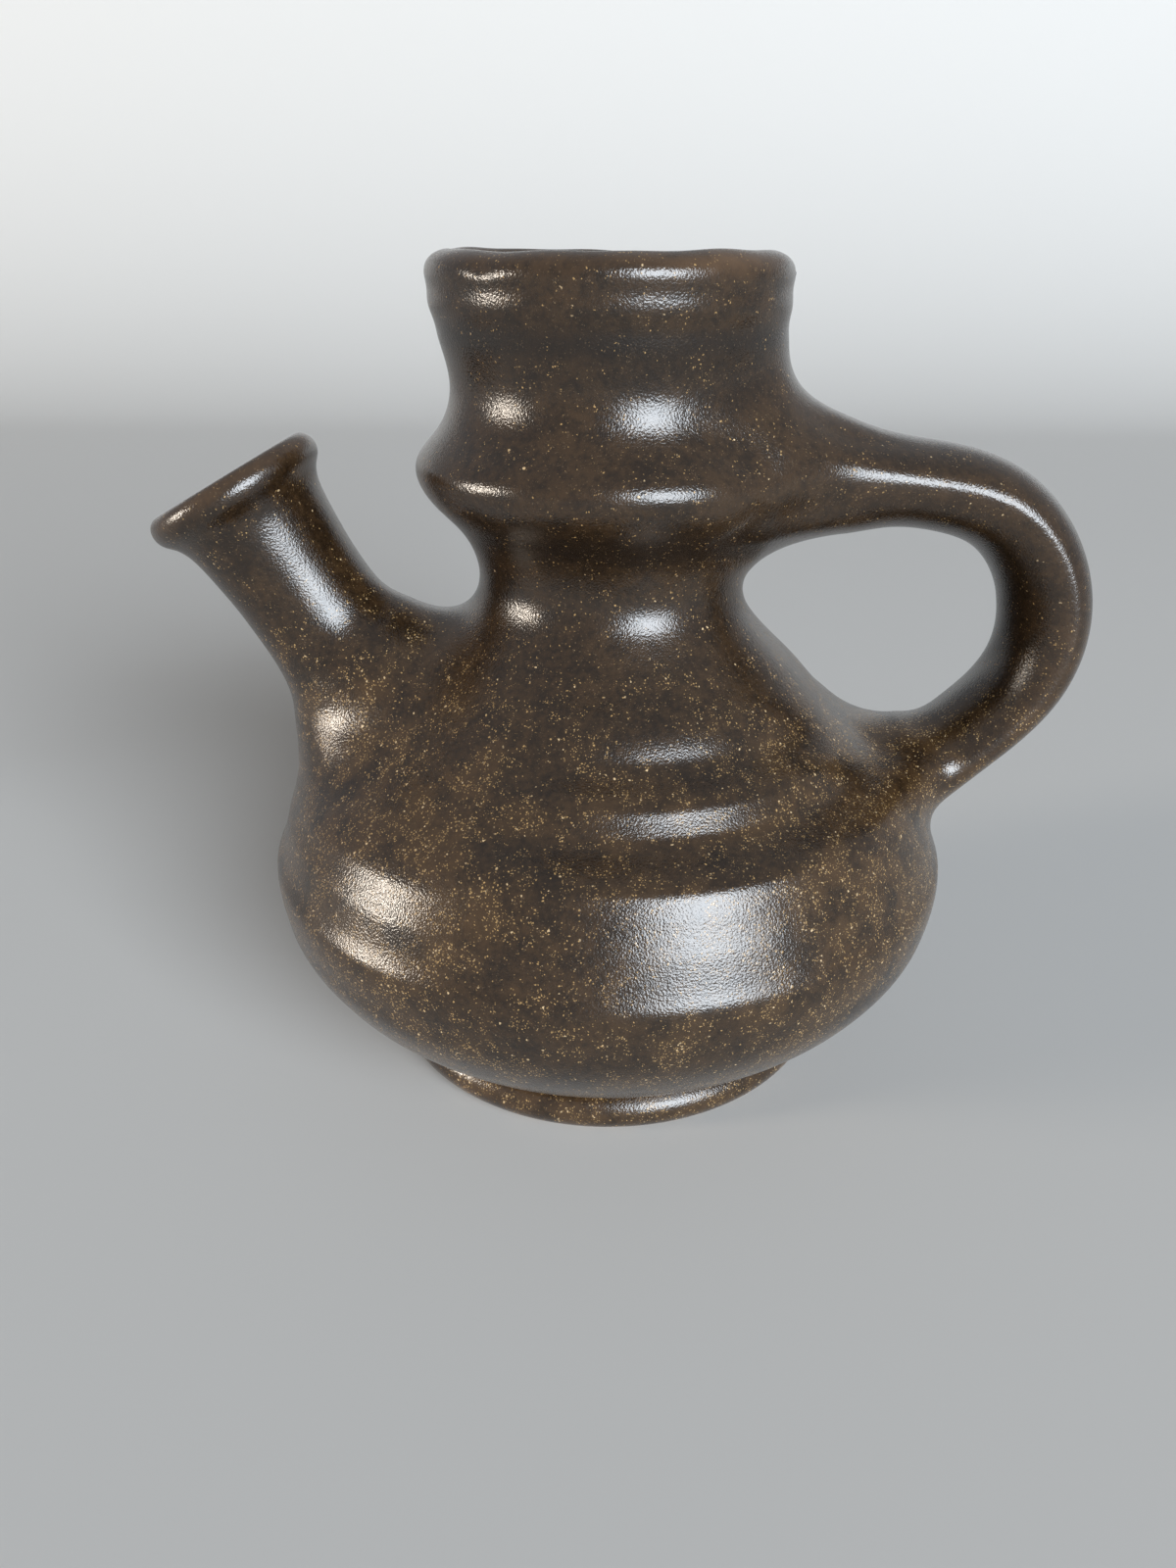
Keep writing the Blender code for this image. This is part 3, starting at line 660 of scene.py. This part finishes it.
HANDLE_COLUMNS = 128
HANDLE_ANGLES = np.linspace(0.0, 2 * np.pi, HANDLE_COLUMNS, endpoint=False)
HANDLE_PATH = np.array((
    (36.7, 121.0), (44.0, 120.8), (53.0, 120.2), (64.0, 119.0), (75.5, 115.0), (83.7, 106.3),
    (87.5, 94.0), (85.2, 82.5), (79.0, 73.8), (71.5, 66.5), (64.6, 60.0)))
HANDLE_LIMB = (0.24, 0.86)
HANDLE_HALF_WIDTH = 13.5
HANDLE_CROWN = 6.6
HANDLE_INSIDE = (9.6, 10.7)
HANDLE_THINNED = 2.3
HANDLE_RIDGE = 1.7
HANDLE_ROUNDING = (1.85, 2.0)
HANDLE_TOP_OVAL = (0.0, 122.0, -0.8, 26.0)
HANDLE_TOP_REACH = 32.0
HANDLE_TOP_TAPER = 0.2
HANDLE_TOP_FLARE = 0.18
HANDLE_FLARE_ROUND = 6.0
HANDLE_FOOT_OVAL = (0.0, 62.0, -0.34, -17.0)
HANDLE_FOOT_REACH = 30.0
HANDLE_EDGE_WEAR = 0.25

handle_chords = np.linalg.norm(np.diff(HANDLE_PATH, axis=0), axis=1)
handle_run = np.concatenate(((0.0,), np.cumsum(handle_chords)))


def handle_middle(share):
    """Places on the handle's middle line, a spline through its points, at shares of its length."""
    at = share * handle_run[-1]
    x, z = (spline(handle_run, HANDLE_PATH[:, axis], at) for axis in (0, 1))
    return np.stack((x, np.zeros_like(x), z), axis=-1)


limb_share, nudge = np.linspace(*HANDLE_LIMB, 150), 1e-4
along = handle_middle(limb_share + nudge) - handle_middle(limb_share - nudge)
along /= np.linalg.norm(along, axis=1, keepdims=True)
outward = np.cross(-SIDE, along)
path = handle_middle(limb_share) + HANDLE_RIDGE * outward
inside_depth = (np.interp(limb_share, (0.0, 1.0), HANDLE_INSIDE)
                - HANDLE_THINNED * ease(limb_share, 0.56, 0.82))
cosine, sine = np.cos(HANDLE_ANGLES), np.sin(HANDLE_ANGLES)
rounded_cosine, rounded_sine = (np.sign(wave) * np.abs(wave) ** (2 / power)
                                for wave, power in zip((cosine, sine), HANDLE_ROUNDING))
thickness = np.where(cosine > 0, HANDLE_CROWN, inside_depth[:, None])
handle_limb = (path[:, None] + (thickness * rounded_cosine)[..., None] * outward[:, None]
               - (HANDLE_HALF_WIDTH * rounded_sine)[:, None] * SIDE)


def handle_depth(end, reach, taper, flare):
    """Distance from the handle's section, carried on straight into the pot at one of its ends as
    far as a reach. On the way it is thickened inside by a taper and widened by a flare."""
    def depth(points):
        offset = points - path[end]
        across, beside = offset @ outward[end], offset @ SIDE
        run = np.abs(offset @ along[end])
        past, gone = np.maximum(run - reach, 0.0), np.minimum(run, reach)
        tapered = inside_depth[end] + taper * gone * ease(gone, 0.0, reach / 2)
        thick = np.where(across > 0, HANDLE_CROWN, tapered)
        wide = HANDLE_HALF_WIDTH + flare * (np.hypot(gone, HANDLE_FLARE_ROUND) - HANDLE_FLARE_ROUND)
        oval = (np.abs(across / thick) ** HANDLE_ROUNDING[0]
                + np.abs(beside / wide) ** HANDLE_ROUNDING[1]) ** (2 / sum(HANDLE_ROUNDING))
        section = np.hypot(across, beside) * (1 - 1 / np.maximum(oval, 0.05))
        return np.where(past > 0, np.hypot(np.maximum(section, 0.0), past), section)
    return depth


def top_spread(points):
    """The upper root is drawn far up the collar on top, less below the bead, and least along its
    flanks, which run on into the bead's crest."""
    beside, height = np.abs(points[..., 1]), points[..., 2]
    crest = ease(height, 112.0, 119.0) * (1 - ease(height, 124.0, 136.0))
    flank = ease(beside, 4.0, 12.0) * crest
    return (15.0 + 9.0 * ease(height, 108.0, 124.0)) * (1 - 0.5 * flank)


def foot_spread(points):
    """The lower root is pressed on with a tight edge below, and smoothed out far on its inner
    side, a little less along its flanks."""
    inward = (path[-1] - points) @ outward[-1]
    flank = ease(np.abs(points[..., 1]), 4.0, 13.0)
    return 5.0 + 13.5 * ease(inward, -5.0, 6.5) * (1 - 0.15 * flank)


top_depth = handle_depth(0, HANDLE_TOP_REACH, HANDLE_TOP_TAPER, HANDLE_TOP_FLARE)
top_turn, top_height = root_edge(HANDLE_ANGLES, HANDLE_TOP_OVAL, top_depth, top_spread)
top_root = root_rows(top_turn, top_height, handle_limb[0], along[0], top_depth, top_spread, 64)
top_hidden = hidden_rows(top_turn, top_height, *HANDLE_TOP_OVAL[:2], 20)
foot_depth = handle_depth(-1, HANDLE_FOOT_REACH, 0.0, 0.0)
foot_turn, foot_height = root_edge(HANDLE_ANGLES, HANDLE_FOOT_OVAL, foot_depth, foot_spread)
foot_root = root_rows(foot_turn, foot_height, handle_limb[-1], -along[-1], foot_depth, foot_spread,
                      48)
foot_hidden = hidden_rows(foot_turn, foot_height, *HANDLE_FOOT_OVAL[:2], 14)
handle_grid = np.concatenate((top_hidden[-2::-1], top_root[:-1], handle_limb, foot_root[-2::-1],
                              foot_hidden[:-1]))
edge_wear = HANDLE_EDGE_WEAR * np.abs(sine) ** 6 * ease(pot_depth(handle_grid), 2.0, 14.0)
add_piece("handle", handle_grid, run_on(handle_grid) + edge_wear,
          poles=(top_hidden[-1, 0], foot_hidden[-1, 0]))


# Floor and backdrop
# A plain pale sheet of paper that lies level under the pot and is drawn up in a curve behind it.
# It is wide enough to catch the whole shadow, and open at its other sides.

SHEET_REACH = 1600.0
SHEET_BACK = 900.0
SHEET_ROUND = 700.0
SHEET_SUNK = 0.02
PAPER_COLOUR = (0.70, 0.69, 0.67, 1.0)
PAPER_ROUGHNESS = 0.8

lies = np.linspace((-SHEET_REACH, -SHEET_SUNK), (SHEET_BACK, -SHEET_SUNK), 8)
rises = arc((SHEET_BACK, SHEET_ROUND - SHEET_SUNK), SHEET_ROUND, -90, -5, 32)[1:]
sheet_line = np.vstack((lies, rises))[:, None]
sheet_sides = np.array((-SHEET_REACH, SHEET_REACH))
sheet_points = np.broadcast_arrays(sheet_sides, sheet_line[..., 0], sheet_line[..., 1])
sheet_grid = np.stack(sheet_points, axis=-1)
sheet_index = np.arange(2 * len(sheet_line)).reshape(-1, 2)
sheet_faces = np.hstack((sheet_index[:-1], sheet_index[1:, ::-1]))
sheet_mesh = bpy.data.meshes.new("floor")
sheet_mesh.from_pydata(sheet_grid.reshape(-1, 3) * MM, [], sheet_faces.tolist())
sheet_mesh.shade_smooth()
paper = bpy.data.materials.new("pale_paper")
paper.use_nodes = True
paper_shader = paper.node_tree.nodes["Principled BSDF"]
paper_shader.inputs["Base Color"].default_value = PAPER_COLOUR
paper_shader.inputs["Roughness"].default_value = PAPER_ROUGHNESS
sheet_mesh.materials.append(paper)
floor = bpy.data.objects.new("floor", sheet_mesh)
bpy.context.collection.objects.link(floor)


# Light
# A wide cool window far off in front on the right, a small warm one low on the left, and pale air
# that the eye and the glaze see brighter than it shines.

LAMP_AIM = 0.08
AIR_COLOUR = (0.92, 0.95, 1.0, 1.0)
AIR_SHINE = 0.14
AIR_SEEN = 0.42


def window(name, azimuth, elevation, distance, size, power, colour):
    """Area lamp at an azimuth to the right of the front and an elevation, in degrees, and at a
    distance in metres, facing the pot."""
    light = bpy.data.lights.new(name, "AREA")
    light.shape, light.size, light.size_y = "RECTANGLE", *size
    light.energy, light.color = power, colour
    holder = bpy.data.objects.new(name, light)
    turn, tilt = math.radians(azimuth), math.radians(elevation)
    level = distance * math.cos(tilt)
    holder.location = (level * math.sin(turn), -level * math.cos(turn),
                       LAMP_AIM + distance * math.sin(tilt))
    holder.rotation_euler = (math.pi / 2 - tilt, 0.0, turn)
    holder.visible_camera = False
    bpy.context.collection.objects.link(holder)


window("right_window", azimuth=31, elevation=17, distance=6.0, size=(3.40, 3.50), power=600.0,
       colour=(0.86, 0.93, 1.0))
window("left_window", azimuth=-78, elevation=7, distance=4.0, size=(0.74, 0.92), power=82.0,
       colour=(1.0, 0.89, 0.76))
world = bpy.data.worlds.new("pale_air")
world.use_nodes = True
air = Shade(world.node_tree)
seen = sum(air.node("LightPath", {}, {}, ray)
           for ray in ("Is Camera Ray", "Is Glossy Ray", "Is Transmission Ray"))
brightness = AIR_SHINE + (AIR_SEEN - AIR_SHINE) * seen
background = world.node_tree.nodes["Background"]
background.inputs["Color"].default_value = AIR_COLOUR
world.node_tree.links.new(brightness.socket, background.inputs["Strength"])
bpy.context.scene.world = world
bpy.context.scene.view_settings.view_transform = "Standard"


# Camera
# A wide lens close in front of the pot, level with its rim and tilted down, as in the photograph.

CAMERA_PLACE = (0.0, -222.3, 160.0)
CAMERA_TILT = math.radians(25.26)
CAMERA_ROLL = math.radians(0.41)
SENSOR_HEIGHT = 36.0
PICTURE_HEIGHT = 1600.0
FOCAL_PIXELS = 1155.0
SHIFT_PIXELS = 20.6

camera_data = bpy.data.cameras.new("camera")
camera_data.sensor_fit = "VERTICAL"
camera_data.sensor_height = SENSOR_HEIGHT
camera_data.lens = FOCAL_PIXELS / PICTURE_HEIGHT * SENSOR_HEIGHT
camera_data.shift_x = -SHIFT_PIXELS / PICTURE_HEIGHT
camera_data.clip_start = 0.01
camera = bpy.data.objects.new("camera", camera_data)
camera.location = np.array(CAMERA_PLACE) * MM + AXIS
camera.rotation_euler = (math.pi / 2 - CAMERA_TILT, 0.0, 0.0)
camera.rotation_euler.rotate_axis("Z", CAMERA_ROLL)
bpy.context.collection.objects.link(camera)
bpy.context.scene.camera = camera
